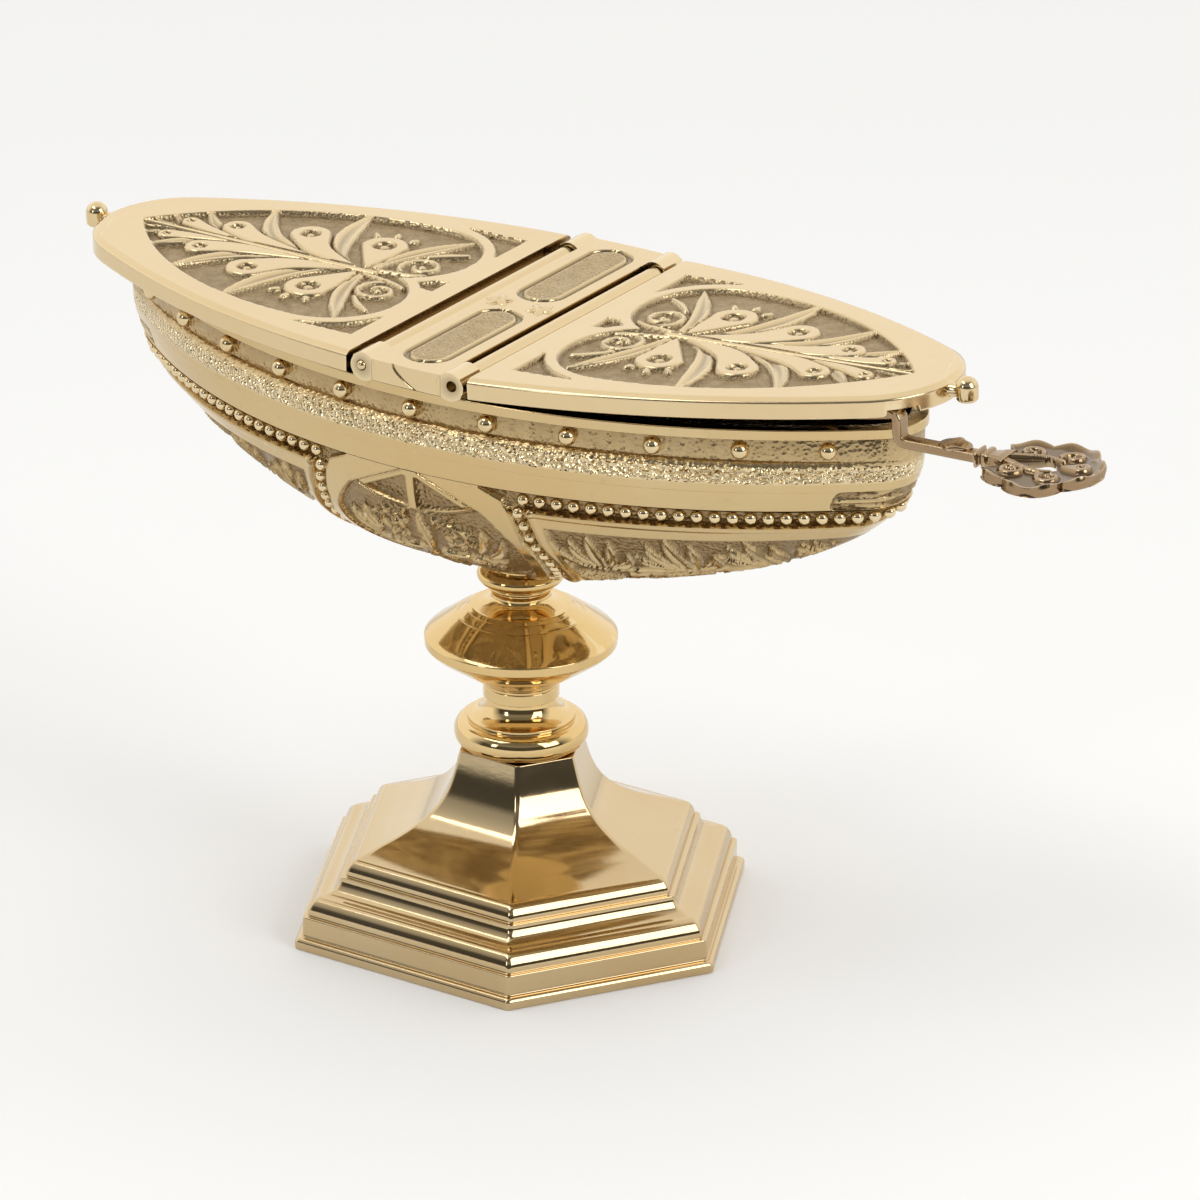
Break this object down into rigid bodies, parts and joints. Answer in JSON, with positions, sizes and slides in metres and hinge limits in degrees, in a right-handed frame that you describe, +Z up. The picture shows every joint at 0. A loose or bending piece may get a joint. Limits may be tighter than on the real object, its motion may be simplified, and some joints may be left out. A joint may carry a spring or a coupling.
{
  "type": "incense boat",
  "caption": "Footed incense boat in ornamented brass: moulded hull on a turned stem and hexagonal foot, two hinged lids with leaf relief, and a spoon resting under one lid.",
  "frame": {"origin": "centre of the foot's underside, on the stem's axis and on the table", "axes": "+X along the boat towards the spoon, +Y away from the pictured side, +Z up"},
  "size_m": [0.1961, 0.0688, 0.1116],
  "materials": {
    "cast_brass": "cast brass with chased ornament, polished on the high faces and matte in the grounds",
    "turned_brass": "turned and mirror-polished",
    "lid_brass": "satin faces with a matte stippled sunk ground",
    "spoon_brass": "pinkish brass, worn smooth by handling",
    "fixing_brass": "dull turned brass"
  },
  "bodies": {
    "boat": {"foot": "cast_brass", "foot_washer": "fixing_brass", "foot_nut": "fixing_brass", "tie_rod": "fixing_brass", "lower_collar": "turned_brass", "knop": "turned_brass", "upper_collar": "turned_brass", "bowl": "cast_brass", "frieze_studs": "turned_brass", "bridge": "lid_brass", "bridge_pegs": "fixing_brass", "left_hinge_pin": "fixing_brass", "right_hinge_pin": "fixing_brass"},
    "left_cover": {"left_lid": "lid_brass", "left_lid_lug": "turned_brass"},
    "right_cover": {"right_lid": "lid_brass", "right_lid_lug": "turned_brass"},
    "spoon": {"spoon_bowl": "spoon_brass", "spoon_handle": "spoon_brass", "spoon_finial": "spoon_brass"}
  },
  "joints": [
    {"name": "left_lid_hinge", "type": "hinge", "parent": "boat", "child": "left_cover", "pos_m": [-0.0085, 0, 0.10315], "axis": [0, 1, 0], "range_deg": [0, 90]},
    {"name": "right_lid_hinge", "type": "hinge", "parent": "boat", "child": "right_cover", "pos_m": [0.0085, 0, 0.10315], "axis": [0, -1, 0], "range_deg": [0, 86.4]},
    {"name": "spoon_swing", "type": "hinge", "parent": "boat", "child": "spoon", "pos_m": [0.0758, -0.009, 0.1035], "axis": [0, 0, 1], "range_deg": [-3, 3]}
  ]
}
